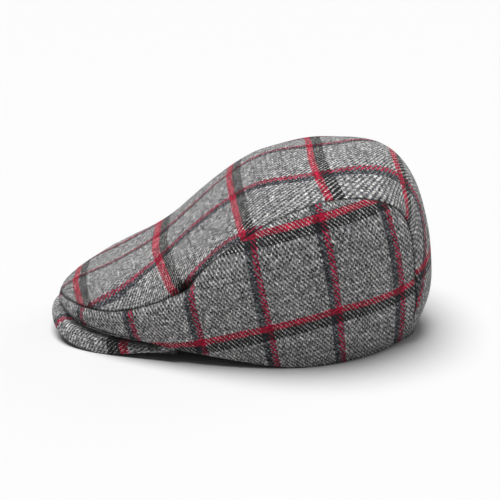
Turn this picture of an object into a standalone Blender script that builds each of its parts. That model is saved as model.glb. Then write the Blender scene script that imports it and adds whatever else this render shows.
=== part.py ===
"""A flat cap of tweed: a top panel that runs from the nose of the cap over the crown and
down the back, two side panels that meet in front, and a stiff arched peak under them.

Metres, +Z up. The front points to -Y and the wearer's left is +X. The cap rests on the
plane z = 0, and its box is centred on x = 0 and y = 0.
"""

from collections import namedtuple

import bmesh
import bpy
import numpy as np
from mathutils import Matrix

# Sizes of the crown
CROWN_LENGTH = 0.2686       # nose to the fullest point of the back
CROWN_DEPTH = 0.1345        # hem to crest, where the crown is tallest
TOP_PANEL_WIDTH = 0.170     # seam to seam, straight across, where the panel is widest
HEM_WIDTH = 0.170           # across the hem, outside

# Sizes of the peak
HEM_FRONT_RISE = 0.0186     # how high the peak holds the hem over the table in front
PEAK_LIP = 0.0080           # how far the peak stands out from the hem
PEAK_EDGE_RISE = 0.0142     # the middle of the peak's edge over the table in front
PEAK_OPENING_RISE = 0.0230  # the peak's upper face over the table at the head opening
PEAK_THICKNESS = 0.0045     # a board with cloth glued round it

# Cloth, hem and seams
CLOTH = 0.0020
HEM_CLOTH = 0.0034          # the hem is turned in, so the cloth is doubled there
HEM_TURN = 0.016            # how far up the turned-in cloth reaches
SEAM_DIP = 0.0010           # how deep a seam draws the cloth in
SEAM_ROLL = 0.0050          # the width of that dip on each side of the seam
SEAM_GAP = 0.0003           # room between two pieces that touch

# How finely the faces are cut
STEPS_PER_RIB = 3
TOP_COLUMNS = 8
SIDE_COLUMNS = 8
PEAK_COLUMNS = 7

# A rib runs over the left half of the crown, from the crest, which is the centre line of
# the top panel, across the seam and down to the hem. One row for each rib, from the nose
# to the hem at the back. Each y is a share of CROWN_LENGTH from the nose. The rises of
# crest and seam over the hem's height are shares of CROWN_DEPTH, and hem_rise is a share
# of HEM_FRONT_RISE. seam_x is a share of half TOP_PANEL_WIDTH and hem_x of half
# HEM_WIDTH. full says how boxy the top panel is there, as a share of the chord from crest
# to seam. crease is 0 where the top panel turns smoothly into the side at the seam, and 1
# where it runs straight on into it. flare is the slope at which the cloth leaves the hem
# outwards.
Rib = namedtuple(
    "Rib", "crest_y crest_rise full crease seam_x seam_y seam_rise hem_x hem_y hem_rise flare"
)
RIBS = (
    Rib(0.000, 0.060, 0.50, 0.00, 0.000, 0.000, 0.060, 0.000, 0.002, 1.00, 0.10),
    Rib(0.040, 0.142, 0.50, 0.00, 0.259, 0.025, 0.078, 0.271, 0.019, 0.98, 0.10),
    Rib(0.090, 0.219, 0.50, 0.00, 0.459, 0.069, 0.101, 0.453, 0.059, 0.83, 0.10),
    Rib(0.152, 0.292, 0.48, 0.00, 0.624, 0.119, 0.131, 0.606, 0.118, 0.71, 0.10),
    Rib(0.218, 0.363, 0.44, 0.00, 0.735, 0.178, 0.160, 0.712, 0.181, 0.64, 0.10),
    Rib(0.286, 0.442, 0.40, 0.10, 0.818, 0.242, 0.214, 0.800, 0.255, 0.60, 0.10),
    Rib(0.356, 0.586, 0.36, 0.30, 0.894, 0.312, 0.293, 0.882, 0.330, 0.49, 0.10),
    Rib(0.427, 0.743, 0.33, 0.45, 0.947, 0.389, 0.452, 0.941, 0.404, 0.40, 0.10),
    Rib(0.508, 0.881, 0.32, 0.60, 0.982, 0.479, 0.631, 0.982, 0.485, 0.25, 0.10),
    Rib(0.590, 0.960, 0.32, 0.65, 0.994, 0.568, 0.769, 1.000, 0.574, 0.08, 0.10),
    Rib(0.672, 0.984, 0.32, 0.65, 0.971, 0.657, 0.859, 0.982, 0.653, 0.00, 0.12),
    Rib(0.755, 0.994, 0.32, 0.65, 0.900, 0.739, 0.880, 0.925, 0.717, 0.00, 0.15),
    Rib(0.838, 1.000, 0.33, 0.60, 0.800, 0.825, 0.857, 0.841, 0.773, 0.00, 0.20),
    Rib(0.907, 0.938, 0.33, 0.50, 0.712, 0.886, 0.791, 0.746, 0.819, 0.00, 0.24),
    Rib(0.955, 0.796, 0.32, 0.35, 0.650, 0.918, 0.694, 0.653, 0.853, 0.00, 0.27),
    Rib(0.983, 0.612, 0.33, 0.20, 0.605, 0.934, 0.551, 0.569, 0.878, 0.00, 0.28),
    Rib(0.998, 0.411, 0.34, 0.10, 0.548, 0.944, 0.359, 0.492, 0.898, 0.00, 0.28),
    Rib(0.998, 0.205, 0.36, 0.00, 0.471, 0.950, 0.179, 0.420, 0.916, 0.00, 0.28),
    Rib(0.966, 0.000, 0.36, 0.00, 0.355, 0.931, 0.000, 0.355, 0.931, 0.00, 0.28),
)

# The peak lies under the first ribs, a row for each. opening_x is a share of half
# HEM_WIDTH and opening_y of CROWN_LENGTH from the nose. The other columns are shares of
# PEAK_LIP, PEAK_EDGE_RISE, PEAK_OPENING_RISE and PEAK_THICKNESS.
PeakRib = namedtuple("PeakRib", "opening_x opening_y opening_rise lip edge_rise thickness")
PEAK_RIBS = (
    PeakRib(0.000, 0.190, 1.00, 0.71, 1.00, 1.00),
    PeakRib(0.175, 0.192, 0.98, 0.87, 0.73, 1.00),
    PeakRib(0.350, 0.202, 0.91, 1.02, 0.30, 1.00),
    PeakRib(0.500, 0.220, 0.80, 0.66, 0.10, 1.00),
    PeakRib(0.620, 0.243, 0.68, 0.34, 0.14, 0.85),
    PeakRib(0.740, 0.269, 0.58, 0.20, 0.43, 0.50),
    PeakRib(0.840, 0.295, 0.48, 0.10, 0.52, 0.30),
)
PEAK_END = 5.33             # the rib, counted from 0, at which the peak's corner ends

SIDE_PULL = 0.36            # how far the side panel bulges, as a share of its chord

CLOTH_COLOUR = (0.13, 0.13, 0.14, 1.0)
PEAK_COLOUR = (0.09, 0.09, 0.10, 1.0)
CLOTH_ROUGHNESS = 0.95


def column(rows, name):
    """One named column of a table, as an array."""
    return np.array([getattr(row, name) for row in rows])


def unit(vectors):
    """The vectors at length one. A zero vector stays as it is."""
    lengths = np.linalg.norm(vectors, axis=-1, keepdims=True)
    return vectors / np.where(lengths < 1e-12, 1.0, lengths)


def smooth_step(value, low, high):
    """0 below low, 1 above high, and an S-shaped rise between them."""
    share = np.clip((value - low) / (high - low), 0, 1)
    return share * share * (3 - 2 * share)


def spline(knots, at, crosses_centre):
    """Points of a smooth curve close to its knots, at the row numbers in at.

    It is a cubic B-spline whose control points lie a sixth of the local bend outside the
    knots. A line that crosses the centre plane goes on there as its own mirror image, and
    any other line starts straight.
    """
    def with_ends(points):
        before = points[1] * (-1, 1, 1) if crosses_centre else 2 * points[0] - points[1]
        after = 2 * points[-1] - points[-2]
        return np.vstack([before, points, after])

    ended = with_ends(knots)
    bend = 2 * ended[1:-1] - ended[:-2] - ended[2:]
    controls = with_ends(knots + bend / 6)
    first = np.clip(np.floor(at).astype(int), 0, len(knots) - 2)
    f = (at - first)[:, None]
    weights = (
        (1 - f) ** 3,
        3 * f**3 - 6 * f**2 + 4,
        -3 * f**3 + 3 * f**2 + 3 * f + 1,
        f**3,
    )
    return sum(weight * controls[first + k] for k, weight in enumerate(weights)) / 6


def hem_knots():
    """Where each rib ends on the hem."""
    return np.column_stack([
        column(RIBS, "hem_x") * HEM_WIDTH / 2,
        column(RIBS, "hem_y") * CROWN_LENGTH,
        column(RIBS, "hem_rise") * HEM_FRONT_RISE,
    ])


def hem_line(at):
    """The lower edge of the crown's outer face, round the left side, on the table or
    over it."""
    return np.maximum(spline(hem_knots(), at, crosses_centre=True), (-np.inf, -np.inf, 0))


def seam_line(at):
    """The seam between top panel and side panel, which ends on the hem."""
    hem = hem_knots()
    knots = np.column_stack([
        column(RIBS, "seam_x") * TOP_PANEL_WIDTH / 2,
        column(RIBS, "seam_y") * CROWN_LENGTH,
        column(RIBS, "seam_rise") * CROWN_DEPTH + hem[:, 2],
    ])
    knots[-1] = hem[-1]
    return spline(knots, at, crosses_centre=True)


def crest_line(at):
    """The centre line of the top panel."""
    knots = np.column_stack([
        np.zeros(len(RIBS)),
        column(RIBS, "crest_y") * CROWN_LENGTH,
        column(RIBS, "crest_rise") * CROWN_DEPTH + hem_knots()[:, 2],
    ])
    return spline(knots, at, crosses_centre=False)


def run_of(line, at):
    """The direction in which a line, such as hem_line, runs at these rows."""
    return unit(line(at + 0.01) - line(at - 0.01))


def hem_outward(at):
    """Level directions out of the cap, square to the hem as seen from above."""
    run = run_of(hem_line, at)
    return unit(np.column_stack([run[:, 1], -run[:, 0], np.zeros(len(run))]))


def square_to(vectors, run):
    """Directions of the part of each vector that is square to the run."""
    return unit(vectors - np.sum(vectors * run, axis=1, keepdims=True) * run)


def seam_directions(at):
    """Two directions square to the seam and towards the hem: the one in which the top
    panel reaches the seam, and the one half way between the two panels."""
    near = np.clip(at, 0.05, len(RIBS) - 1.05)
    crest, seam, hem = crest_line(near), seam_line(near), hem_line(near)
    run = run_of(seam_line, at)
    straight = square_to(seam - crest, run)
    crossing = unit(straight + square_to(hem - seam, run))
    crease = np.interp(at, range(len(RIBS)), column(RIBS, "crease"))[:, None]
    return unit(crease * straight + (1 - crease) * crossing), crossing


def bezier(a, b, c, d, shares):
    """Points of cubic Bezier curves, a row for each curve, at its row of shares."""
    f = shares[:, :, None]
    a, b, c, d = (points[:, None, :] for points in (a, b, c, d))
    return (1 - f) ** 3 * a + 3 * f * (1 - f) ** 2 * b + 3 * f**2 * (1 - f) * c + f**3 * d


def roll_shares(chord, columns):
    """Shares along each rib, even up to one seam roll before its seam end."""
    roll = np.minimum(SEAM_ROLL / np.maximum(chord, SEAM_ROLL), 0.3)
    even = np.linspace(0, 1, columns)
    return np.column_stack([(1 - roll) * even, np.ones(len(chord))])


def crown_half(at):
    """The left half of the crown's outer face, and its outward normals.

    A row for each rib: the columns from the crest to the seam, whose number is
    TOP_COLUMNS, and then those from the seam to the hem.
    """
    crest, seam, hem = crest_line(at), seam_line(at), hem_line(at)
    arrival, crossing = seam_directions(at)

    chord = np.linalg.norm(seam - crest, axis=1, keepdims=True)
    pull = chord * np.interp(at, range(len(RIBS)), column(RIBS, "full"))[:, None]
    shares = roll_shares(chord, TOP_COLUMNS)
    top = bezier(crest, crest + pull * (1, 0, 0), seam - pull * arrival, seam, shares)
    top[-1, :, 2] = hem[-1, 2]      # the back hem is level

    chord = np.linalg.norm(hem - seam, axis=1, keepdims=True)
    pull = chord * SIDE_PULL
    flare = np.interp(at, range(len(RIBS)), column(RIBS, "flare"))[:, None]
    rise = unit(flare * hem_outward(at) + (0, 0, 1))
    shares = 1 - roll_shares(chord, SIDE_COLUMNS)[:, ::-1]
    side = bezier(seam, seam + pull * crossing, hem + pull * rise, hem, shares)

    face = np.concatenate([top, side[:, 1:]], axis=1)
    normals = unit(np.cross(np.gradient(face, axis=1), np.gradient(face, axis=0)))
    at_seam = unit(np.cross(crossing, run_of(seam_line, at)))
    normals[:, TOP_COLUMNS] = at_seam
    normals[0, :TOP_COLUMNS] = at_seam[0]
    normals[-1, TOP_COLUMNS:] = at_seam[-1]
    normals[:, 0] = unit(normals[:, 0] * (0, 1, 1))
    normals[0] = unit(normals[0] * (0, 1, 1))

    # the seam draws the cloth in, less and less towards the hem
    dip = SEAM_DIP * smooth_step(len(RIBS) - 1 - at, 0, 1.5)
    face[:, TOP_COLUMNS] -= dip[:, None] * at_seam
    return face, normals, crossing


def cloth_wall(face, normals, hem, seam):
    """The inner face of a wall of cloth: CLOTH under the outer face, and HEM_CLOTH where
    the hem is turned in, but no thicker than CLOTH next to the seam. hem and seam are the
    row or column of the face that lies there."""
    from_hem = np.linalg.norm(face - hem, axis=2)
    from_seam = np.linalg.norm(face - seam, axis=2)
    doubled = smooth_step(from_hem, HEM_TURN * 1.2, HEM_TURN)
    doubled *= smooth_step(from_seam, 0, HEM_TURN / 2)
    thickness = CLOTH + (HEM_CLOTH - CLOTH) * doubled
    return face - normals * thickness[:, :, None]


def hem_inside(at):
    """The inner edge of the hem. It is level with the outer edge, but over the peak it
    rises with the peak's upper face."""
    inside = hem_line(at) - HEM_CLOTH * hem_outward(at)
    over_peak = at < PEAK_END + 0.5 / STEPS_PER_RIB
    inward = np.full((over_peak.sum(), 1), -HEM_CLOTH)
    inside[over_peak] = peak_top(at[over_peak], inward)[:, 0] + (0, 0, SEAM_GAP)
    return inside


def peak_rails(at):
    """Three lines on the peak's upper face: at the head opening, under the hem and at the
    outer edge. Then the peak's thickness there."""
    rows = range(len(PEAK_RIBS))
    thickness = np.interp(at, rows, column(PEAK_RIBS, "thickness")) * PEAK_THICKNESS
    knots = np.column_stack([
        column(PEAK_RIBS, "opening_x") * HEM_WIDTH / 2,
        column(PEAK_RIBS, "opening_y") * CROWN_LENGTH,
        column(PEAK_RIBS, "opening_rise") * PEAK_OPENING_RISE,
    ])
    opening = spline(knots, at, crosses_centre=True)

    knots = np.column_stack([
        np.zeros(len(PEAK_RIBS)),
        column(PEAK_RIBS, "lip") * PEAK_LIP,
        column(PEAK_RIBS, "edge_rise") * PEAK_EDGE_RISE,
    ])
    lip_and_rise = spline(knots, at, crosses_centre=True)
    hem = hem_line(at)
    edge = hem + lip_and_rise[:, 1, None] * hem_outward(at)
    edge[:, 2] = lip_and_rise[:, 2] + thickness / 2
    return opening, hem - (0, 0, SEAM_GAP), edge, thickness


def peak_top(at, reach):
    """Points of the peak's upper face, a row for each place along the hem. reach is how
    far out from under the hem each point lies. From the head opening to the hem the face
    is straight, and from there it bends down evenly to its edge."""
    opening, hem, edge, _ = (points[:, None] for points in peak_rails(at))
    slope = unit(hem - opening)
    lip = np.linalg.norm(edge - hem, axis=2, keepdims=True)
    reach = reach[:, :, None]
    bend = edge - hem - slope * lip
    return hem + slope * reach + bend * (np.maximum(reach, 0) / lip) ** 2


def peak_half(at):
    """The left half of the peak: a closed profile for each row, with round edges, from
    the head opening over the upper face to the edge and back under the lower face."""
    opening, hem, edge, thickness = peak_rails(at)
    radius = (thickness / 2)[:, None]
    inner = radius - np.linalg.norm(opening - hem, axis=1, keepdims=True)
    outer = np.linalg.norm(edge - hem, axis=1, keepdims=True) - radius
    upper = inner + (outer - inner) * np.linspace(0, 1, PEAK_COLUMNS)
    turn = np.radians((45, 0, -45))
    reach = np.hstack([
        upper,
        outer + radius * np.cos(turn),
        upper[:, ::-1],
        inner - radius * np.cos(turn),
    ])
    drop = np.hstack([
        0 * upper,
        radius * (1 - np.sin(turn)),
        0 * upper + 2 * radius,
        radius * (1 + np.sin(turn)),
    ])
    return peak_top(at, reach) - drop[:, :, None] * (0, 0, 1)


def mirrored(points):
    """The same points on the other side of the centre plane."""
    return points * (-1, 1, 1)


def panel_mesh(outer, inner):
    """A wall between two grids of points. Where a row or an edge closes to one point, its
    doubles are merged later. The rim is split from the front of the outer face to the
    back of the inner one, so that the two rims along a seam match."""
    rows, columns = outer.shape[:2]
    count = rows * columns
    index = np.arange(count).reshape(rows, columns)

    def squares(grid):
        return np.stack([grid[:-1, :-1], grid[:-1, 1:], grid[1:, 1:], grid[1:, :-1]], -1)

    rim = np.concatenate([index[0], index[1:, -1], index[-1, -2::-1], index[-2:0:-1, 0]])
    front, back = np.sort([rim, np.roll(rim, -1)], axis=0)
    faces = [
        *squares(index).reshape(-1, 4).tolist(),
        *squares(index + count).reshape(-1, 4)[:, ::-1].tolist(),
        *np.stack([front, front + count, back + count], -1).tolist(),
        *np.stack([front, back + count, back], -1).tolist(),
    ]
    return np.concatenate([outer.reshape(-1, 3), inner.reshape(-1, 3)]), faces


def loop_mesh(loops):
    """A solid through closed loops of points, with a flat cap on the first and last."""
    rows, columns = loops.shape[:2]
    index = np.arange(rows * columns).reshape(rows, columns)
    after = np.roll(index, -1, axis=1)
    sides = np.stack([index[:-1], after[:-1], after[1:], index[1:]], -1)
    faces = sides.reshape(-1, 4).tolist()
    faces.append(index[0].tolist())
    faces.append(index[-1].tolist())
    return loops.reshape(-1, 3), faces


def add_piece(name, points, faces, colour):
    """One closed object with its faces pointing out and its own cloth."""
    mesh = bpy.data.meshes.new(name)
    mesh.from_pydata(points.tolist(), [], faces)
    shape = bmesh.new()
    shape.from_mesh(mesh)
    bmesh.ops.remove_doubles(shape, verts=shape.verts, dist=1e-6)
    bmesh.ops.recalc_face_normals(shape, faces=shape.faces)
    shape.to_mesh(mesh)
    shape.free()
    mesh.shade_smooth()

    cloth = bpy.data.materials.new(name + "_cloth")
    cloth.use_nodes = True
    shader = cloth.node_tree.nodes["Principled BSDF"]
    shader.inputs["Base Color"].default_value = colour
    shader.inputs["Roughness"].default_value = CLOTH_ROUGHNESS
    mesh.materials.append(cloth)

    piece = bpy.data.objects.new(name, mesh)
    bpy.context.scene.collection.objects.link(piece)
    return piece


def crown_panels():
    """Points and faces of the top panel and of the left side panel."""
    at = np.linspace(0, len(RIBS) - 1, (len(RIBS) - 1) * STEPS_PER_RIB + 1)
    face, normals, crossing = crown_half(at)
    half_gap = crossing * SEAM_GAP / 2
    half_gap[-1, 2] = 0         # the seam ends on the flat hem

    top = face[:, :TOP_COLUMNS + 1].copy()
    top[:, -1] -= half_gap
    top[0] = top[0, -1]
    top_normals = normals[:, :TOP_COLUMNS + 1]
    top_inner = cloth_wall(top, top_normals, hem=top[-1:], seam=top[:, -1:])
    top_inner[-1, :, 2] = top[-1, :, 2]

    side = face[:, TOP_COLUMNS:].copy()
    side[:, 0] += half_gap
    side[-1] = side[-1, 0]
    side[0] += (SEAM_GAP / 2, 0, 0)
    side_normals = normals[:, TOP_COLUMNS:]
    side_inner = cloth_wall(side, side_normals, hem=side[:, -1:], seam=side[:, :1])
    side_inner[:, -1] = hem_inside(at)
    side_inner[-1] = side_inner[-1, 0]
    side_inner[-1, :, 2] = side[-1, 0, 2]

    def both_halves(grid):
        return np.concatenate([mirrored(grid[:, :0:-1]), grid], axis=1)

    return (
        panel_mesh(both_halves(top), both_halves(top_inner)),
        panel_mesh(side, side_inner),
    )


def peak_solid():
    """Points and faces of the peak."""
    at = np.arange(round(PEAK_END * STEPS_PER_RIB) + 1) / STEPS_PER_RIB
    half = peak_half(at)
    return loop_mesh(np.concatenate([mirrored(half[:0:-1]), half]))


def centre_on_table(pieces):
    """Move the meshes so that the cap's box is centred and its lowest point is at 0."""
    points = np.array([vertex.co for piece in pieces for vertex in piece.data.vertices])
    low, high = points.min(axis=0), points.max(axis=0)
    foot = ((low[0] + high[0]) / 2, (low[1] + high[1]) / 2, low[2])
    for piece in pieces:
        piece.data.transform(Matrix.Translation(foot).inverted())


def build():
    for old in list(bpy.data.objects):
        bpy.data.objects.remove(old)
    (top_points, top_faces), (side_points, side_faces) = crown_panels()
    peak_points, peak_faces = peak_solid()
    centre_on_table([
        add_piece("top_panel", top_points, top_faces, CLOTH_COLOUR),
        add_piece("left_side_panel", side_points, side_faces, CLOTH_COLOUR),
        add_piece("right_side_panel", mirrored(side_points), side_faces, CLOTH_COLOUR),
        add_piece("peak", peak_points, peak_faces, PEAK_COLOUR),
    ])


build()
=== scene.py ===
import math
from collections import namedtuple

import bmesh
import bpy
import numpy as np
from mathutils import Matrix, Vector


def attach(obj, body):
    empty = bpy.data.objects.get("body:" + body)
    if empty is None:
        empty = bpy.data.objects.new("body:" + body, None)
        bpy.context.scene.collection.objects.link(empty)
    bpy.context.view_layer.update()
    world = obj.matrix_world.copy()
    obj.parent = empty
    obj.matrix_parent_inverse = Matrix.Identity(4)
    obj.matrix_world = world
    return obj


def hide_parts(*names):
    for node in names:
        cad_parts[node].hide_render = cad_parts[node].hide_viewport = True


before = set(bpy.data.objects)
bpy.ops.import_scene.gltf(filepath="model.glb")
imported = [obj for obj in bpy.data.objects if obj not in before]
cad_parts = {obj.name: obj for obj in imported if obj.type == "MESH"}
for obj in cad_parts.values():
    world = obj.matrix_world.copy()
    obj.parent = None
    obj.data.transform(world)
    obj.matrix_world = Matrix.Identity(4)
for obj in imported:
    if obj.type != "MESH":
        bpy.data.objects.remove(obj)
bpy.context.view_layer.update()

# The camera stands on the wearer's left, 19 degrees above the table, and looks down at
# about the middle of the cap.
CAMERA_ELEVATION = math.radians(19)
CAMERA_DISTANCE = 1.1
CAMERA_TARGET = Vector((0, 0.0067, 0.0563))
LENS_LENGTH = 110           # in millimetres, as is the sensor's width
SENSOR_WIDTH = 36
toward_camera = Vector((math.cos(CAMERA_ELEVATION), 0, math.sin(CAMERA_ELEVATION)))
lens = bpy.data.cameras.new("photo_camera")
lens.lens = LENS_LENGTH
lens.sensor_width = SENSOR_WIDTH
camera = bpy.data.objects.new("photo_camera", lens)
camera.location = CAMERA_TARGET + toward_camera * CAMERA_DISTANCE
camera.rotation_euler = toward_camera.to_track_quat("Z", "Y").to_euler()
bpy.context.scene.collection.objects.link(camera)
bpy.context.scene.camera = camera

# The top panel is one strip of tweed that runs from the nose of the cap over the crown and
# down the back. It is sewn to a side panel along each edge, and the seams pull it in.
CROWN_LENGTH = 0.2686
CROWN_DEPTH = 0.1345
TOP_PANEL_WIDTH = 0.170
HEM_WIDTH = 0.170
HEM_FRONT_RISE = 0.0186
CENTRE_Y = 0.131815         # the middle of the cap's box, from the nose
CLOTH = 0.0020
HEM_CLOTH = 0.0034
HEM_TURN = 0.016
SEAM_GAP = 0.0002

# A rib runs over the left half of the crown, from the crest across the seam to the hem.
# Each y is a share of CROWN_LENGTH from the nose. The rises of crest and seam over the
# hem's height are shares of CROWN_DEPTH, and hem_rise is a share of HEM_FRONT_RISE.
# seam_x is a share of half TOP_PANEL_WIDTH and hem_x of half HEM_WIDTH. full says how boxy
# the top panel is, crease how straight it runs into the seam, and flare how the cloth
# leaves the hem.
Rib = namedtuple(
    "Rib", "crest_y crest_rise full crease seam_x seam_y seam_rise hem_x hem_y hem_rise flare"
)
RIBS = (
    Rib(0.000, 0.060, 0.50, 0.00, 0.000, 0.000, 0.060, 0.000, 0.002, 1.00, 0.10),
    Rib(0.040, 0.142, 0.50, 0.00, 0.259, 0.025, 0.078, 0.271, 0.019, 0.98, 0.10),
    Rib(0.090, 0.219, 0.50, 0.00, 0.459, 0.069, 0.101, 0.453, 0.059, 0.83, 0.10),
    Rib(0.152, 0.292, 0.48, 0.00, 0.624, 0.119, 0.131, 0.606, 0.118, 0.71, 0.10),
    Rib(0.218, 0.363, 0.44, 0.00, 0.735, 0.178, 0.160, 0.712, 0.181, 0.64, 0.10),
    Rib(0.286, 0.442, 0.40, 0.10, 0.818, 0.242, 0.214, 0.800, 0.255, 0.60, 0.10),
    Rib(0.356, 0.586, 0.36, 0.30, 0.894, 0.312, 0.293, 0.882, 0.330, 0.49, 0.10),
    Rib(0.427, 0.743, 0.33, 0.45, 0.947, 0.389, 0.452, 0.941, 0.404, 0.40, 0.10),
    Rib(0.508, 0.881, 0.32, 0.60, 0.982, 0.479, 0.631, 0.982, 0.485, 0.25, 0.10),
    Rib(0.590, 0.960, 0.32, 0.65, 0.994, 0.568, 0.769, 1.000, 0.574, 0.08, 0.10),
    Rib(0.672, 0.984, 0.32, 0.65, 0.971, 0.657, 0.859, 0.982, 0.653, 0.00, 0.12),
    Rib(0.755, 0.994, 0.32, 0.65, 0.900, 0.739, 0.880, 0.925, 0.717, 0.00, 0.15),
    Rib(0.838, 1.000, 0.33, 0.60, 0.800, 0.825, 0.857, 0.841, 0.773, 0.00, 0.20),
    Rib(0.907, 0.938, 0.33, 0.50, 0.712, 0.886, 0.791, 0.746, 0.819, 0.00, 0.24),
    Rib(0.955, 0.796, 0.32, 0.35, 0.650, 0.918, 0.694, 0.653, 0.853, 0.00, 0.27),
    Rib(0.983, 0.612, 0.33, 0.20, 0.605, 0.934, 0.551, 0.569, 0.878, 0.00, 0.28),
    Rib(0.998, 0.411, 0.34, 0.10, 0.548, 0.944, 0.359, 0.492, 0.898, 0.00, 0.28),
    Rib(0.998, 0.205, 0.36, 0.00, 0.471, 0.950, 0.179, 0.420, 0.916, 0.00, 0.28),
    Rib(0.966, 0.000, 0.36, 0.00, 0.355, 0.931, 0.000, 0.355, 0.931, 0.00, 0.28),
)
LAST_RIB = len(RIBS) - 1

STEPS_PER_RIB = 16
TOP_COLUMNS = 64            # steps from the crest to the seam
ROLL_COLUMNS = 14           # how many of those steps lie next to the seam
ROLL_CLOSING = 1.6          # how fast these get shorter towards it
ROLL_MOST = 0.4             # the largest share of a short rib that they take up
SEAM_ROLL = 0.007           # the width of the cloth's roll into the seam
SEAM_DIP = 0.0016           # how deep the cloth rolls into the seam
RUN_STEP = 0.01             # how many ribs apart a line's direction is taken, each way
SEAM_END = 0.05             # and how near to its ends the seam's directions are, in ribs
ribs = np.linspace(0, LAST_RIB, LAST_RIB * STEPS_PER_RIB + 1)


def column(rows, name):
    """One named column of a table, as an array."""
    return np.array([getattr(row, name) for row in rows])


def unit(vectors):
    """The vectors at length one. A zero vector stays as it is."""
    lengths = np.linalg.norm(vectors, axis=-1, keepdims=True)
    return vectors / np.where(lengths < 1e-12, 1.0, lengths)


def smooth_step(value, low, high):
    """0 at low, 1 at high, and an S-shaped rise between them."""
    share = np.clip((value - low) / (high - low), 0, 1)
    return share * share * (3 - 2 * share)


def bell(value, middle, width):
    """A bell curve: 1 at the middle, and about a third of that one width away from it."""
    return np.exp(-(((value - middle) / width) ** 2))


def spline(knots, at, crosses_centre=False):
    """Points of a smooth curve close to its knots, at the row numbers in at: a cubic
    B-spline whose control points lie a sixth of the local bend outside the knots. A line
    that crosses the centre plane goes on there as its own mirror image."""
    def with_ends(points):
        before = points[1] * (-1, 1, 1) if crosses_centre else 2 * points[0] - points[1]
        after = 2 * points[-1] - points[-2]
        return np.vstack([before, points, after])

    ended = with_ends(knots)
    bend = 2 * ended[1:-1] - ended[:-2] - ended[2:]
    controls = with_ends(knots + bend / 6)
    first = np.clip(np.floor(at).astype(int), 0, len(knots) - 2)
    f = (at - first)[:, None]
    weights = ((1 - f) ** 3, 3 * f**3 - 6 * f**2 + 4, -3 * f**3 + 3 * f**2 + 3 * f + 1, f**3)
    return sum(weight * controls[first + k] for k, weight in enumerate(weights)) / 6


def hem_knots():
    """Where each rib ends on the hem."""
    return np.column_stack([
        column(RIBS, "hem_x") * HEM_WIDTH / 2,
        column(RIBS, "hem_y") * CROWN_LENGTH - CENTRE_Y,
        column(RIBS, "hem_rise") * HEM_FRONT_RISE,
    ])


def hem_line(at):
    """The lower edge of the crown's outer face, round the left side."""
    return np.maximum(spline(hem_knots(), at, crosses_centre=True), (-np.inf, -np.inf, 0))


def seam_line(at):
    """The seam between top panel and side panel, which ends on the hem."""
    hem = hem_knots()
    knots = np.column_stack([
        column(RIBS, "seam_x") * TOP_PANEL_WIDTH / 2,
        column(RIBS, "seam_y") * CROWN_LENGTH - CENTRE_Y,
        column(RIBS, "seam_rise") * CROWN_DEPTH + hem[:, 2],
    ])
    knots[-1] = hem[-1]
    return spline(knots, at, crosses_centre=True)


def crest_line(at):
    """The centre line of the top panel."""
    knots = np.column_stack([
        np.zeros(len(RIBS)),
        column(RIBS, "crest_y") * CROWN_LENGTH - CENTRE_Y,
        column(RIBS, "crest_rise") * CROWN_DEPTH + hem_knots()[:, 2],
    ])
    return spline(knots, at)


def run_of(line, at):
    """The direction in which a line, such as hem_line, runs at these rows."""
    return unit(line(at + RUN_STEP) - line(at - RUN_STEP))


def hem_outward(at):
    """Level directions out of the cap, square to the hem as seen from above."""
    run = run_of(hem_line, at)
    return unit(np.column_stack([run[:, 1], -run[:, 0], np.zeros(len(run))]))


def square_to(vectors, run):
    """Directions of the part of each vector that is square to the run."""
    return unit(vectors - np.sum(vectors * run, axis=1, keepdims=True) * run)


def seam_directions(at):
    """Two directions square to the seam and towards the hem: the one in which the top
    panel reaches the seam, and the one half way between the two panels."""
    near = np.clip(at, SEAM_END, LAST_RIB - SEAM_END)
    crest, seam, hem = crest_line(near), seam_line(near), hem_line(near)
    run = run_of(seam_line, at)
    straight = square_to(seam - crest, run)
    crossing = unit(straight + square_to(hem - seam, run))
    crease = np.interp(at, range(len(RIBS)), column(RIBS, "crease"))[:, None]
    return unit(crease * straight + (1 - crease) * crossing), crossing


def bezier(a, b, c, d, shares):
    """Points of cubic Bezier curves, a row for each curve, at its row of shares."""
    f = shares[:, :, None]
    a, b, c, d = (points[:, None, :] for points in (a, b, c, d))
    return (1 - f) ** 3 * a + 3 * f * (1 - f) ** 2 * b + 3 * f**2 * (1 - f) * c + f**3 * d


def roll_shares(chord, steps):
    """Shares along each rib: even steps, and over the seam's roll at the end steps that
    get shorter and shorter."""
    roll = np.minimum(SEAM_ROLL / np.maximum(chord, SEAM_ROLL), ROLL_MOST)
    even = np.linspace(0, 1, steps - ROLL_COLUMNS + 1)[:-1]
    closing = 1 - np.linspace(1, 0, ROLL_COLUMNS + 1) ** ROLL_CLOSING
    return np.hstack([(1 - roll) * even, 1 - roll + roll * closing])


def arc_from(face, start):
    """How far each point of each row lies from the point of that row in column start,
    measured along the row."""
    steps = np.linalg.norm(np.diff(face, axis=1), axis=2)
    arcs = np.hstack([np.zeros((len(face), 1)), np.cumsum(steps, axis=1)])
    return np.abs(arcs - arcs[:, start, None])


def normals_of(face):
    """Outward normals of a face of points, from the directions of its rows and columns."""
    return unit(np.cross(np.gradient(face, axis=1), np.gradient(face, axis=0)))


crest, seam, hem = crest_line(ribs), seam_line(ribs), hem_line(ribs)
arrival, crossing = seam_directions(ribs)
at_seam = unit(np.cross(crossing, run_of(seam_line, ribs)))

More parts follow.
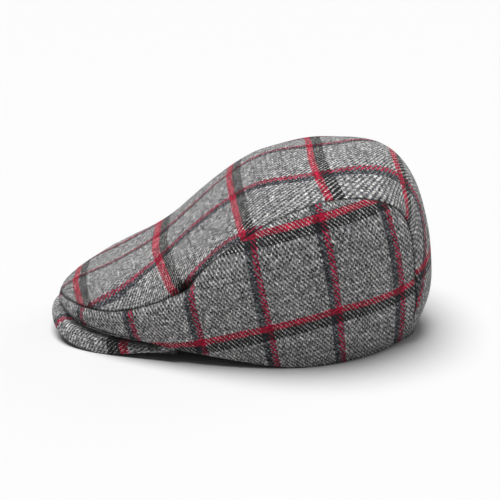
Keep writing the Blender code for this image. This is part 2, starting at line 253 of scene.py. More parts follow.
chord = np.linalg.norm(seam - crest, axis=1, keepdims=True)
pull = chord * np.interp(ribs, range(len(RIBS)), column(RIBS, "full"))[:, None]
shares = roll_shares(chord, TOP_COLUMNS)
half_top = bezier(crest, crest + pull * (1, 0, 0), seam - pull * arrival, seam, shares)
half_top[-1, :, 2] = 0
half_normals = normals_of(half_top)
half_normals[:, -1] = at_seam
half_normals[:, 0] = unit(half_normals[:, 0] * (0, 1, 1))
half_normals[0] = unit(at_seam[0] * (0, 1, 1))


def both_halves(left):
    """The left half of the top panel, joined to its mirror image at the crest."""
    return np.concatenate([left[:, :0:-1] * (-1, 1, 1), left], axis=1)


def both_halves_of_depth(left):
    """The same for one number at each point."""
    return np.hstack([left[:, :0:-1], left])


# On each side the seam has a deep tuck where the band widens into the side panel.
TUCK_RIB = 6.45
TUCK_RIBS = 0.33
TUCK_DEPTH = 0.0048
TUCK_WIDTH = 0.0055
WAVE_RATES = (0.61, 0.83, 1.0, 1.37)
WAVE_START = 7              # sets the starts of the four waves apart
WAVE_SUM = 2.6              # the four waves seldom add up to more
PUCKER_STRENGTH = 0.35      # the deepest pucker is about a seventh of this share of the dip
PUCKER_LENGTH = 0.007
PUCKER_START = 3.0
WAVE_DEPTH = 0.00022        # of each of the cloth's three slow waves, whose lengths follow
X_WAVE = 0.052
Y_WAVE = 0.041
Z_WAVE = 0.047
WAVE_FADE = 0.012           # over this distance they fade out to a seam or the hem
HEM_TURN_FADE = 1.2         # times HEM_TURN, where the hem's second layer has ended


def tuck(from_seam, width):
    """How deep the tuck draws the cloth in, at distances from the seam."""
    return TUCK_DEPTH * bell(ribs, TUCK_RIB, TUCK_RIBS)[:, None] * bell(from_seam, 0, width)


def wobble(along, wavelength, start):
    """Uneven waves, nearly everywhere between -1 and 1: four sine waves whose lengths are
    not multiples of each other. start moves them along."""
    turns = np.asarray(along) * 2 * np.pi / wavelength
    return sum(np.sin(turns * rate + start * rate * WAVE_START) for rate in WAVE_RATES) / WAVE_SUM


def rolled_into_seam(from_seam, along_seam, depth):
    """How far the cloth sinks next to the seam: a round roll, and small puckers where the
    thread draws it in."""
    share = np.clip(1 - from_seam / SEAM_ROLL, 0, 1)
    roll = 1 - np.sqrt(1 - share**3)
    puckers = PUCKER_STRENGTH * share**2 * (1 - share) * wobble(along_seam, PUCKER_LENGTH, PUCKER_START)
    return depth * (roll + puckers)


def soft_waves(points, start):
    """Slow shallow waves of the cloth, in metres along its normals: the sum of three
    trains of waves along x, y and z, each slanted a little towards another axis."""
    x, y, z = np.moveaxis(points, -1, 0)
    along_x = wobble(x + 0.5 * y, X_WAVE, start)
    along_y = wobble(y - 0.4 * z, Y_WAVE, start + 1)
    along_z = wobble(z + 0.3 * x, Z_WAVE, start + 2)
    return WAVE_DEPTH * (along_x + along_y + along_z)


def wall_thickness(points, hem_points, seam_points):
    """CLOTH, and HEM_CLOTH where the hem is turned in, but not next to the seam."""
    from_hem = np.linalg.norm(points - hem_points, axis=2)
    from_seam = np.linalg.norm(points - seam_points, axis=2)
    doubled = smooth_step(from_hem, HEM_TURN * HEM_TURN_FADE, HEM_TURN)
    doubled = doubled * smooth_step(from_seam, 0, HEM_TURN / 2)
    return (CLOTH + (HEM_CLOTH - CLOTH) * doubled)[:, :, None]


along_seam = np.concatenate([[0], np.cumsum(np.linalg.norm(np.diff(seam, axis=0), axis=1))])
half_gap = crossing * SEAM_GAP / 2
half_gap[-1, 2] = 0
from_seam = arc_from(half_top, -1)
sunk = rolled_into_seam(from_seam, along_seam[:, None], SEAM_DIP)
left_top = half_top - half_normals * sunk[:, :, None]
left_top[:, -1] -= half_gap
top_face = both_halves(left_top)
top_normals = both_halves(half_normals)
both_from_seam = both_halves_of_depth(from_seam)
waves = soft_waves(top_face, 0.0) * smooth_step(both_from_seam, 0, WAVE_FADE)
top_face = top_face + top_normals * waves[:, :, None]
top_face[0] = top_face[0, -1] * (0, 1, 1)
top_face -= top_normals * both_halves_of_depth(tuck(from_seam, TUCK_WIDTH / 2))[:, :, None]
top_base = both_halves(half_top)
top_inner = top_face - top_normals * wall_thickness(top_base, top_base[-1:], top_base[:, -1:])
top_inner[-1, :, 2] = top_face[-1, :, 2] = 0


FLAT_STEP = 8               # every eighth row and column of a panel is laid flat
FLAT_ROUNDS = 300
CROWN_ROW = 10 * STEPS_PER_RIB      # the row of rib 10, over the middle of the crown


def lay_flat(points, start):
    """A grid of points laid flat with the least stretching. Every link between two
    neighbours, across the squares too, asks for the length it has in the round: in turn
    all links take that length in the direction they have, and the points that fit them
    best, by least squares, are found."""
    index = np.arange(points.shape[0] * points.shape[1]).reshape(points.shape[:2])
    starts = (index[:-1], index[:, :-1], index[:-1, :-1], index[:-1, 1:])
    ends = (index[1:], index[:, 1:], index[1:, 1:], index[1:, :-1])
    first = np.concatenate([numbers.ravel() for numbers in starts])
    second = np.concatenate([numbers.ravel() for numbers in ends])
    links = np.zeros((len(first), index.size))
    links[range(len(first)), first] = -1
    links[range(len(first)), second] = 1
    lengths = np.linalg.norm(links @ points.reshape(-1, 3), axis=1, keepdims=True)
    fit = np.linalg.pinv(links)
    flat = start.reshape(-1, 2)
    for _ in range(FLAT_ROUNDS):
        flat = fit @ (unit(links @ flat) * lengths)
    return flat.reshape(start.shape)


def finer(flat, row_count, column_count):
    """A coarse grid of flat points brought to more rows and columns, smoothly."""
    down = spline(np.eye(flat.shape[0]), np.linspace(0, flat.shape[0] - 1, row_count))
    across = spline(np.eye(flat.shape[1]), np.linspace(0, flat.shape[1] - 1, column_count))
    return np.einsum("ra,abk,cb->rck", down, flat, across)


def turned(flat, origin, toward, angle):
    """Flat points moved so that the row and column in origin come to (0, 0), and turned
    so that those in toward lie at this angle from there."""
    flat = flat - flat[origin]
    lies = math.atan2(flat[toward][1], flat[toward][0])
    c, s = math.cos(angle - lies), math.sin(angle - lies)
    return flat @ np.array([[c, s], [-s, c]])


# The top panel's U runs to the wearer's right and its V to the front, both in metres of
# cloth from the crest at the middle of the crown.
coarse_top = top_base[::FLAT_STEP, ::FLAT_STEP]
start = np.stack([
    -np.sign(coarse_top[:, :, 0]) * arc_from(coarse_top, coarse_top.shape[1] // 2),
    -np.repeat(arc_from(crest[None, ::FLAT_STEP], 0).T, coarse_top.shape[1], axis=1),
], -1)
flat_top = finer(lay_flat(coarse_top, start), *top_base.shape[:2])
flat_top = turned(flat_top, (CROWN_ROW, TOP_COLUMNS), (0, TOP_COLUMNS), math.radians(90))

# Sizes of the cloth. The thin lines of the plaid run along the warp, the wide bands along
# the weft. Going up in U or V, each is first black and then red.
WARP_PITCH = 0.00070        # the warp threads along U
WEFT_PITCH = 0.00098        # the weft threads along V
THIN_REPEAT = 0.0483
WIDE_REPEAT = 0.0650
THIN_BLACK = 0.0045
THIN_RED = 0.0036
WIDE_BLACK = 0.0068
WIDE_RED = 0.0052
THIN_MIDDLE = THIN_BLACK + THIN_RED / 2     # the middle of the red, from the line's start
WIDE_MIDDLE = WIDE_BLACK + WIDE_RED / 2

# Wool stretches when it is steamed over a form, so the plaid wanders. It follows the photo
# here, further than real wool would give. A row for each rib, in millimetres of cloth:
# near_line, middle_line and far_line are the U where three thin red lines cross the rib,
# on the wearer's left, near the crest and past it. shift moves the wide bands to the
# front, and bend moves them so at the left seam, less towards the crest.
Lay = namedtuple("Lay", "near_line middle_line far_line shift bend")
TOP_LAY = (
    Lay(-42, -3, 30, 0, 0),
    Lay(-44, -10, 22, 0, 0),
    Lay(-47, -14, 20, 0, 0),
    Lay(-51, -14, 21, -1, 2),
    Lay(-55, -6, 27, -1, 4),
    Lay(-50, 2, 34, -1, 5),
    Lay(-42, 4, 40, 0, 3),
    Lay(-40, 1, 42, 2, 0),
    Lay(-41, -1, 44, 2, 0),
    Lay(-45, 1, 46, 0, 3),
    Lay(-51, 7, 50, -6, 7),
    Lay(-48, 12, 54, -7, 14),
    Lay(-40, 22, 62, -10, 30),
    Lay(-33, 29, 69, -20, 60),
    Lay(-28, 30, 68, -22, 50),
    Lay(-33, 22, 62, -18, 25),
    Lay(-41, 10, 54, -14, 10),
    Lay(-45, 4, 50, -12, 0),
    Lay(-46, 2, 48, -12, 0),
)
TOP_WIDE_AT = 0.0595        # the V of the middle of one wide red band on the top panel
SEAM_REACH = 0.080          # where bend holds, in U
BACK_EASE = 0.25            # how much the cloth is stretched at the last wide band
BACK_EASE_REACH = 0.012
FAR_LINE = 0.045            # the U to which the far line comes back
FAR_FADE = 0.060            # within this U past it


def lay_at_ribs(rows):
    """A table's columns at every row of points, in metres."""
    return spline(np.array(rows, float) / 1000, ribs).T[:, :, None]


near, middle, far, shift, bend = lay_at_ribs(TOP_LAY)
u, v = flat_top[:, :, 0], flat_top[:, :, 1]
left_part = (np.minimum(u, middle) - near) / (middle - near)
right_part = (np.clip(u, middle, far) - middle) / (far - middle)
past_far = np.maximum(u - far, 0)
come_back = (far - FAR_LINE) * (1 - bell(past_far, 0, FAR_FADE))
flat_top = np.stack([
    (left_part + right_part) * THIN_REPEAT + past_far + come_back + THIN_MIDDLE,
    v + shift + bend * (np.minimum(u, 0) / SEAM_REACH) ** 2 - TOP_WIDE_AT + WIDE_MIDDLE,
], -1)
from_band = flat_top[:, :, 1] - WIDE_MIDDLE + 2 * WIDE_REPEAT
flat_top[:, :, 1] -= BACK_EASE * from_band * bell(from_band, 0, BACK_EASE_REACH)


def linear(code):
    """A colour such as "#c0c0c0" in linear light, with alpha 1."""
    channels = [int(code[k:k + 2], 16) / 255 for k in (1, 3, 5)]
    return tuple(c / 12.92 if c <= 0.04045 else ((c + 0.055) / 1.055) ** 2.4 for c in channels) + (1.0,)


def add(tree, kind, *inputs, output=0, **settings):
    """A shader node. kind is its type, and its operation after a space where it has one.
    Its open inputs, in their order, are set to a value or linked to an output of another
    node, and None is left alone. Gives one of its open outputs."""
    kind, _, operation = kind.partition(" ")
    node = tree.nodes.new("ShaderNode" + kind)
    if operation:
        node.operation = operation
    for name, value in settings.items():
        setattr(node, name, value)
    for socket, value in zip([socket for socket in node.inputs if socket.enabled], inputs):
        if isinstance(value, bpy.types.NodeSocket):
            tree.links.new(value, socket)
        elif value is not None:
            socket.default_value = value
    return [socket for socket in node.outputs if socket.enabled][output]


TWILL_REPEAT = 4.0          # a float goes over two threads and under two
FLOAT_TAPER = 1.85          # below 2, floats side by side meet above their rims
FLOAT_SIDE = 2.4            # how square a float is across
FLOAT_REACH = 1.25          # how far it reaches from its middle, in threads
FLOAT_END = 3.0             # how square it is along
WIDE_COVER = 0.93           # how far the weft covers the warp in the wide bands
RED_SINK = 0.45             # how deep the warp sinks in the red, as a share of a float's height
THREAD_WANDER = 0.0011      # the most that threads could wander, from side to side
WANDER_SCALE = 420.0        # and they do so over about 2.4 mm
PATCH_SCALE = 340.0         # the unevenness of the wool, about 3 mm from patch to patch
PATCH_DARK = 0.42
PATCH_LIGHT = 1.56
SLUB_SCALE = 480.0          # thick and thin places in the weft, about 2 mm apart
SLUB_STRETCH = 0.22         # and about 4.5 times as long as that
SLUB_DARK = 0.56
SLUB_LIGHT = 1.42
NOISE_LOW = 0.3             # most of a noise lies between these two
NOISE_HIGH = 0.7
FLECK_STRETCH = 0.8         # how fast the flecks change along a thread
FLECK_APART = 5.3           # how far apart the flecks of two threads are read
FLECK_CONTRAST = 2.2
TONE_CONTRAST = 0.9
TONE_START = 0.05
GREY_SECOND = 0.4           # how far every second grey thread is towards its dark colour
DYED_SECOND = 0.1           # and every second dyed one
# Painted shade of the weave: the colour is darker in the holes between the threads.
HOLE_HEIGHT = -0.3          # the holes between threads are darkest from here down
PROUD_HEIGHT = 0.55         # the height from which a float lies in full light
HOLE_SHADE = 0.30           # the share of light that holes get
FIBRE_SCALE = 2600.0        # loose fibres, about 0.4 mm apart
THREAD_RELIEF = 0.8
FIBRE_RELIEF = 0.5


def tweed(name, relief, black_sink):
    """Coarse melange twill: light warp threads float over two weft threads and dive under
    two, a step further on in each next thread, so that the floats form diagonal ribs. The
    plaid comes from warp and weft threads dyed black and red. black_sink says how deep the
    light warp sinks in the wide black bands."""
    cloth = bpy.data.materials.new(name)
    cloth.use_nodes = True
    tree = cloth.node_tree
    shader = tree.nodes["Principled BSDF"]

    # the threads of handmade cloth wander by a fraction of their width
    uv = add(tree, "UVMap", uv_map="cloth")
    wander = add(tree, "TexNoise", uv, WANDER_SCALE, 2.0, 0.5, output=1)
    wander = add(tree, "VectorMath SUBTRACT", wander, (0.5, 0.5, 0.5))
    wander = add(tree, "VectorMath MULTIPLY", wander, (THREAD_WANDER,) * 3)
    place_u = add(tree, "SeparateXYZ", add(tree, "VectorMath ADD", uv, wander))
    warp = add(tree, "Math DIVIDE", place_u, WARP_PITCH)
    weft = add(tree, "Math DIVIDE", place_u.node.outputs["Y"], WEFT_PITCH)
    warp_number = add(tree, "Math FLOOR", warp)
    weft_number = add(tree, "Math FLOOR", weft)

    def float_height(across, along, drop):
        """How high a float stands: 1 in its middle and 0 at its rim, where across runs
        from 0 to 1 over its width and along from 0 to 4 over its repeat. drop says how
        deep it dives under the other threads at its ends."""
        side = add(tree, "Math MULTIPLY", add(tree, "Math SUBTRACT", across, 0.5), FLOAT_TAPER)
        side = add(tree, "Math POWER", add(tree, "Math ABSOLUTE", side), FLOAT_SIDE)
        end = add(tree, "Math DIVIDE", add(tree, "Math SUBTRACT", along, 1.0), FLOAT_REACH)
        end = add(tree, "Math POWER", add(tree, "Math ABSOLUTE", end), FLOAT_END)
        fallen = add(tree, "Math ADD", side, add(tree, "Math MULTIPLY", end, drop))
        return add(tree, "Math SUBTRACT", 1.0, fallen)

    warp_phase = add(tree, "Math ADD", weft, warp_number)
    warp_along = add(tree, "Math FLOORED_MODULO", warp_phase, TWILL_REPEAT)
    weft_phase = add(tree, "Math ADD", add(tree, "Math ADD", warp, weft_number), TWILL_REPEAT / 2)
    weft_along = add(tree, "Math FLOORED_MODULO", weft_phase, TWILL_REPEAT)

    def place_in(number, pitch, repeat):
        """Where a thread lies in the plaid's repeat, in metres."""
        middle = add(tree, "Math MULTIPLY", add(tree, "Math ADD", number, 0.5), pitch)
        return add(tree, "Math FLOORED_MODULO", middle, repeat)

    thin_place = place_in(warp_number, WARP_PITCH, THIN_REPEAT)
    wide_place = place_in(weft_number, WEFT_PITCH, WIDE_REPEAT)
    thin_any = add(tree, "Math LESS_THAN", thin_place, THIN_BLACK + THIN_RED)
    thin_red = add(tree, "Math MULTIPLY", thin_any, add(tree, "Math GREATER_THAN", thin_place, THIN_BLACK))
    wide_any = add(tree, "Math LESS_THAN", wide_place, WIDE_BLACK + WIDE_RED)
    wide_red = add(tree, "Math MULTIPLY", wide_any, add(tree, "Math GREATER_THAN", wide_place, WIDE_BLACK))

    warp_height = float_height(add(tree, "Math FRACT", warp), warp_along, 1.0)
    weft_across = add(tree, "Math FRACT", weft)
    weft_drop = add(tree, "Math MULTIPLY_ADD", wide_any, -WIDE_COVER, 1.0)
    weft_height = float_height(weft_across, weft_along, weft_drop)
    any_sink = add(tree, "Math MULTIPLY", wide_any, black_sink)
    sink = add(tree, "Math MULTIPLY_ADD", wide_red, RED_SINK - black_sink, any_sink)
    sunk_height = add(tree, "Math SUBTRACT", warp_height, sink)
    shows_warp = add(tree, "Math GREATER_THAN", sunk_height, weft_height)

    def melange(number, along, phase, dark, light, every_second):
        """One thread's colour: each of its floats has its own tone, with dark and light
        flecks in it, and every second thread is a little darker than its neighbours."""
        which = add(tree, "Math FLOOR", add(tree, "Math DIVIDE", phase, TWILL_REPEAT))
        tone = add(tree, "TexWhiteNoise", add(tree, "CombineXYZ", number, which, 0.0))
        down_thread = add(tree, "Math MULTIPLY", along, FLECK_STRETCH)
        streak = add(tree, "CombineXYZ", down_thread, add(tree, "Math MULTIPLY", number, FLECK_APART), 0.0)
        flecks = add(tree, "TexNoise", streak, 1.0, 2.0, 0.6)
        second = add(tree, "Math FLOORED_MODULO", number, 2.0)
        second = add(tree, "Math MULTIPLY", second, -every_second)
        flecks = add(tree, "Math SUBTRACT", flecks, 0.5)
        share = add(tree, "Math MULTIPLY_ADD", flecks, FLECK_CONTRAST, every_second / 2)
        share = add(tree, "Math MULTIPLY_ADD", tone, TONE_CONTRAST, add(tree, "Math ADD", share, second))
        share = add(tree, "Clamp", add(tree, "Math ADD", share, TONE_START))
        return add(tree, "Mix", share, dark, light, data_type="RGBA")

    def dyed(number, along, phase, grey, red, black):
        """The grey, red and black of one set of threads, each from its dark and its light
        colour."""
        return (
            melange(number, along, phase, *map(linear, grey), GREY_SECOND),
            melange(number, along, phase, *map(linear, red), DYED_SECOND),
            melange(number, along, phase, *map(linear, black), DYED_SECOND),
        )

    warp_grey, warp_red, warp_black = dyed(
        warp_number, weft, warp_phase, ("#646466", "#dfddd9"), ("#7c082a", "#cf2650"), ("#16181a", "#4c4e51"),
    )
    weft_grey, weft_red, weft_black = dyed(
        weft_number, warp, weft_phase, ("#1d1e22", "#888a8f"), ("#700420", "#bd1a3e"), ("#08090a", "#2c2e31"),
    )
    warp_colour = add(tree, "Mix", thin_any, warp_grey, warp_black, data_type="RGBA")
    warp_colour = add(tree, "Mix", thin_red, warp_colour, warp_red, data_type="RGBA")
    weft_colour = add(tree, "Mix", wide_any, weft_grey, weft_black, data_type="RGBA")
    weft_colour = add(tree, "Mix", wide_red, weft_colour, weft_red, data_type="RGBA")
    colour = add(tree, "Mix", shows_warp, weft_colour, warp_colour, data_type="RGBA")

    # the wool is spun unevenly, so small patches of the cloth are lighter or darker
    patches = add(tree, "TexNoise", uv, PATCH_SCALE, 3.0, 0.75)
    patches = add(tree, "MapRange", patches, NOISE_LOW, NOISE_HIGH, PATCH_DARK, PATCH_LIGHT)
    slubs = add(tree, "VectorMath MULTIPLY", uv, (SLUB_STRETCH, 1.0, 1.0))
    slubs = add(tree, "TexNoise", slubs, SLUB_SCALE, 2.0, 0.6)
    slubs = add(tree, "MapRange", slubs, NOISE_LOW, NOISE_HIGH, SLUB_DARK, SLUB_LIGHT)
    patches = add(tree, "Math MULTIPLY", patches, slubs)
    # painted shade: the colour is darker in the holes between the threads
    height = add(tree, "Math MAXIMUM", warp_height, weft_height)
    light = add(tree, "MapRange", height, HOLE_HEIGHT, PROUD_HEIGHT, HOLE_SHADE, 1.0)
    # painted shade of the seams, the tuck and the groove, read from each point of the piece
    painted_shade = add(tree, "Attribute", output=2, attribute_name="painted_shade")
    light = add(tree, "Math MULTIPLY", light, patches)
    light = add(tree, "Math MULTIPLY", light, add(tree, "Math SUBTRACT", 1.0, painted_shade))
    colour = add(tree, "VectorMath MULTIPLY", colour, light)
    fibres = add(tree, "TexNoise", uv, FIBRE_SCALE, 3.0, 0.65)
    threads = add(tree, "Math MULTIPLY", height, THREAD_RELIEF)
    surface = add(tree, "Bump").node
    surface.inputs["Strength"].default_value = 1.0
    surface.inputs["Distance"].default_value = relief
    raised = add(tree, "Math ADD", threads, add(tree, "Math MULTIPLY", fibres, FIBRE_RELIEF))
    tree.links.new(raised, surface.inputs["Height"])
    tree.links.new(surface.outputs["Normal"], shader.inputs["Normal"])
    tree.links.new(colour, shader.inputs["Base Color"])
    shader.inputs["Roughness"].default_value = 0.95
    shader.inputs["Specular IOR Level"].default_value = 0.15
    shader.inputs["Sheen Weight"].default_value = 0.05
    shader.inputs["Sheen Roughness"].default_value = 0.6
    return cloth


# Painted shade along the seams: the shadow in each seam is painted into the cloth's colour, darker and wider
# in the tuck.
PAINTED_SEAM_SHADE = 0.75
SEAM_SHADE_WIDTH = 0.0011
PAINTED_TUCK_SHADE = 0.2            # how much darker the painted seam shade is in the tuck
TUCK_SPREAD = 3.5           # and how much wider its shade


def painted_seam_shade(from_seam):
    """Painted shade next to the seam, where its shadow falls, darkest and widest in the tuck."""
    in_tuck = bell(ribs, TUCK_RIB, TUCK_RIBS)[:, None]
    width = SEAM_SHADE_WIDTH * (1 + TUCK_SPREAD * in_tuck)
    return (PAINTED_SEAM_SHADE + PAINTED_TUCK_SHADE * in_tuck) * bell(from_seam, 0, width)


def square_faces(grid):
    """The squares of a grid of point numbers."""
    return np.stack([grid[:-1, :-1], grid[:-1, 1:], grid[1:, 1:], grid[1:, :-1]], -1).reshape(-1, 4)


def cloth_piece(name, points, faces, flat, painted_shade, cloth):
    """A closed piece from its points and faces, which replaces the solid of its name. Each
    point has its place on the flat cloth as UV, and painted shade: the share of light that
    the shadow of a seam, fold or groove takes from its colour. Points in one place become one."""
    mesh = bpy.data.meshes.new(name)
    mesh.from_pydata(points.tolist(), [], faces)
    corners = np.empty(len(mesh.loops), int)
    mesh.loops.foreach_get("vertex_index", corners)
    layer = mesh.uv_layers.new(name="cloth")
    layer.data.foreach_set("uv", flat[corners].ravel())
    mesh.attributes.new("painted_shade", "FLOAT", "POINT").data.foreach_set("value", painted_shade)
    shape = bmesh.new()
    shape.from_mesh(mesh)
    bmesh.ops.remove_doubles(shape, verts=shape.verts, dist=1e-6)
    bmesh.ops.recalc_face_normals(shape, faces=shape.faces)
    shape.to_mesh(mesh)
    shape.free()
    mesh.shade_smooth()
    mesh.materials.append(cloth)
    piece = bpy.data.objects.new(name, mesh)
    bpy.context.scene.collection.objects.link(piece)
    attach(piece, "root")
    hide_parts(name)


def shell(name, outer, inner, flat, painted_shade, cloth, hem_arc=None):
    """A closed wall of cloth between an outer and an inner grid of points, with the painted
    shade of seams, folds and the groove on its outer face. Where hem_arc is given, its
    columns of points join the last column of the outer face to that of the inner face round
    the hem."""
    grids = [outer, inner]
    count = outer.shape[0] * outer.shape[1]
    index = np.arange(count).reshape(outer.shape[:2])
    flats = [flat.reshape(-1, 2), flat.reshape(-1, 2)]
    faces = [square_faces(index), square_faces(index + count)[:, ::-1]]
    if hem_arc is None:
        rim = np.concatenate([index[0], index[1:, -1], index[-1, -2::-1], index[-2:0:-1, 0]])
        after = np.roll(rim, -1)
        faces.append(np.stack([rim, rim + count, after + count, after], -1))
    else:
        arcs = hem_arc.shape[1]
        middle = np.arange(outer.shape[0] * arcs).reshape(-1, arcs) + 2 * count
        faces.append(square_faces(np.hstack([index[:, -1:], middle, index[:, -1:] + count])))
        rim = np.concatenate([index[-1, ::-1], index[-2::-1, 0], index[0, 1:]])
        faces.append(np.stack([rim[:-1], rim[:-1] + count, rim[1:] + count, rim[1:]], -1))
        front = np.concatenate([[index[0, -1]], middle[0], [index[0, -1] + count]])
        fan = np.stack([np.full(len(front) - 2, front[0]), front[1:-1], front[2:], front[2:]], -1)
        faces.append(fan)
        grids.append(hem_arc)
        # the cloth runs on round the hem to its lowest point, and comes back inside
        step = np.linalg.norm(hem_arc[:, 1] - hem_arc[:, 0], axis=1)[:, None, None]
        steps_round = np.minimum(np.arange(1, arcs + 1), np.arange(arcs, 0, -1))[:, None]
        past_edge = unit(flat[:, -1:] - flat[:, -2:-1]) * steps_round * step
        flats.append((flat[:, -1:] + past_edge).reshape(-1, 2))
    points = np.concatenate([grid.reshape(-1, 3) for grid in grids])
    face_list = [list(dict.fromkeys(face)) for face in np.concatenate(faces).tolist()]
    # painted shade lies on the outer face only
    painted_shades = np.zeros(len(points))
    painted_shades[:count] = painted_shade.ravel()
    cloth_piece(name, points, face_list, np.concatenate(flats), painted_shades, cloth)


CLOTH_RELIEF = 0.00035      # how far the threads stand out
BLACK_SINK = 0.34           # how deep the light warp sinks in the wide black bands
plaid_tweed = tweed("grey_tweed_with_red_and_black_windowpane", CLOTH_RELIEF, BLACK_SINK)
shell("top_panel", top_face, top_inner, flat_top, painted_seam_shade(both_from_seam), plaid_tweed)

# The left side panel is a strip of the same tweed, sewn to the top panel and turned in at
# the hem. In front it narrows to the band over the peak, and it meets its twin there.
# Its plaid runs downhill to the front.
SIDE_PULL = 0.36            # how boxy the panel is, as full says for the top panel
SIDE_COLUMNS = 96           # steps from the seam to the hem
SIDE_GRAIN = math.radians(12)
BACK_ROW = 15 * STEPS_PER_RIB       # the row of rib 15, at the back of the panel
SIDE_THIN_AT = -0.0182      # the U of the middle of one thin red line on the side panel
SIDE_WIDE_AT = 0.036        # the V of the middle of one wide red band
SIDE_STRETCH = 0.956
BAND_EASE = 0.35            # how much the cloth is drawn together at the upper wide band
BAND_EASE_REACH = 0.010

# A row for each rib: u_shift and v_shift move the plaid, in millimetres of cloth.
SideLay = namedtuple("SideLay", "u_shift v_shift")
SIDE_LAY = (
    SideLay(-17, 9),
    SideLay(-13, 9),
    SideLay(-5, 9),
    SideLay(-3, 9),
    SideLay(-1, 9),
    SideLay(0, 8),
    SideLay(0, 7),
    SideLay(0, 5),
    SideLay(0, 2),
    SideLay(0, -0.5),
    SideLay(0, -2),
    SideLay(0, -2.5),
    SideLay(0, -1.5),
    SideLay(0, 0),
    SideLay(-2, 2),
    SideLay(-5, 3.5),
    SideLay(-7, 3),
    SideLay(-8, 2),
    SideLay(-8, 2),
)
chord = np.linalg.norm(hem - seam, axis=1, keepdims=True)
pull = chord * SIDE_PULL
flare = np.interp(ribs, range(len(RIBS)), column(RIBS, "flare"))[:, None]
rise = unit(flare * hem_outward(ribs) + (0, 0, 1))
shares = 1 - roll_shares(chord, SIDE_COLUMNS)[:, ::-1]
side_base = bezier(seam, seam + pull * crossing, hem + pull * rise, hem, shares)
side_normals = normals_of(side_base)
side_normals[:, 0] = at_seam
side_normals[-1] = at_seam[-1]
side_normals[0] = unit(side_normals[0] * (0, 1, 1))

# The band's hem lies on the peak, so the peak's form is worked out here. A row for each rib
# over it: opening_x is a share of half HEM_WIDTH and opening_y of CROWN_LENGTH from the
# nose. The other columns are shares of PEAK_LIP, PEAK_EDGE_RISE, PEAK_OPENING_RISE and
# PEAK_THICKNESS.
PEAK_LIP = 0.0080
PEAK_EDGE_RISE = 0.0142
PEAK_OPENING_RISE = 0.0230
PEAK_THICKNESS = 0.0045
PEAK_END = 6.0              # the rib at which the peak tapers out under the hem
PeakRib = namedtuple("PeakRib", "opening_x opening_y opening_rise lip edge_rise thickness")
PEAK_RIBS = (
    PeakRib(0.000, 0.190, 1.00, 0.71, 1.00, 1.00),
    PeakRib(0.175, 0.192, 0.98, 0.87, 0.73, 1.00),
    PeakRib(0.350, 0.202, 0.91, 1.02, 0.30, 1.00),
    PeakRib(0.500, 0.220, 0.80, 0.66, 0.10, 1.00),
    PeakRib(0.620, 0.243, 0.68, 0.34, 0.14, 0.85),
    PeakRib(0.740, 0.269, 0.58, 0.20, 0.43, 0.50),
    PeakRib(0.840, 0.295, 0.48, 0.10, 0.52, 0.30),
)


def peak_rails(at):
    """Three lines on the peak's upper face: at the head opening, under the hem and at the
    outer edge. Then the peak's thickness there."""
    numbers = range(len(PEAK_RIBS))
    thickness = np.interp(at, numbers, column(PEAK_RIBS, "thickness")) * PEAK_THICKNESS
    knots = np.column_stack([
        column(PEAK_RIBS, "opening_x") * HEM_WIDTH / 2,
        column(PEAK_RIBS, "opening_y") * CROWN_LENGTH - CENTRE_Y,
        column(PEAK_RIBS, "opening_rise") * PEAK_OPENING_RISE,
    ])
    opening = spline(knots, at, crosses_centre=True)
    knots = np.column_stack([
        np.zeros(len(PEAK_RIBS)),
        column(PEAK_RIBS, "lip") * PEAK_LIP,
        column(PEAK_RIBS, "edge_rise") * PEAK_EDGE_RISE,
    ])
    lip_and_rise = spline(knots, at, crosses_centre=True)
    under_hem = hem_line(at)
    edge = under_hem + lip_and_rise[:, 1, None] * hem_outward(at)
    edge[:, 2] = lip_and_rise[:, 2] + thickness / 2
    return opening, under_hem - (0, 0, SEAM_GAP), edge, thickness


def peak_top(at, reach):
    """Points of the peak's upper face, a row for each place along the hem. reach is how
    far out from under the hem each point lies. From the head opening to the hem the face
    is straight, and from there it bends down evenly to its edge."""
    opening, under_hem, edge, _ = (points[:, None] for points in peak_rails(at))
    slope = unit(under_hem - opening)
    lip = np.linalg.norm(edge - under_hem, axis=2, keepdims=True)
    reach = reach[:, :, None]
    bend = edge - under_hem - slope * lip
    return under_hem + slope * reach + bend * (np.maximum(reach, 0) / lip) ** 2


BAND_TURN = 0.0012          # how far the band's lower edge turns under
BAND_TURN_REACH = 0.006     # how far up that starts
BAND_TURN_FULL = 5.0        # up to this rib it is full
BAND_TURN_END = 6.2         # and from this one there is none
SEAM_FADE = 1.0             # the seam's roll fades over this many ribs at the back hem
LIFT_REACH = 0.008          # how far up the cloth is lifted for the round of the hem
LIFT_FADE = 0.5             # and over how many ribs that fades at the back
HEM_ARC_POINTS = 7
PAINTED_GROOVE_SHADE = 0.85         # painted shadow in the groove between the band and the peak
GROOVE_ON_BAND = 0.0010     # how far its shade reaches up the band
GROOVE_ON_PEAK = 0.0032     # and out over the peak
GROOVE_RIB = 4.6            # where its painted shadow is widest on the peak
GROOVE_RIBS = 0.8
GROOVE_GAPE = 0.0026
GROOVE_IN_FRONT = 0.35      # the share of its shade in front, where the band lies close
GROOVE_CLOSED = 0.6         # up to this rib
GROOVE_OPEN = 2.2           # and from this rib on it has its whole shade
GROOVE_FADE = 0.9           # over how many ribs it ends
GROOVE_END = 4.8            # the rib at which it ends on the band


def painted_groove_shade(from_hem, rib, width, end):
    """Painted shadow in the groove under the band, by distance from the hem along the cloth. In
    front the band lies close on the peak, and at the rib named end the shadow ends."""
    opened = smooth_step(rib, GROOVE_CLOSED, GROOVE_OPEN)
    open_share = GROOVE_IN_FRONT + (1 - GROOVE_IN_FRONT) * opened
    ending = smooth_step(rib, end, end - GROOVE_FADE)
    return PAINTED_GROOVE_SHADE * open_share * bell(from_hem, 0, width) * ending


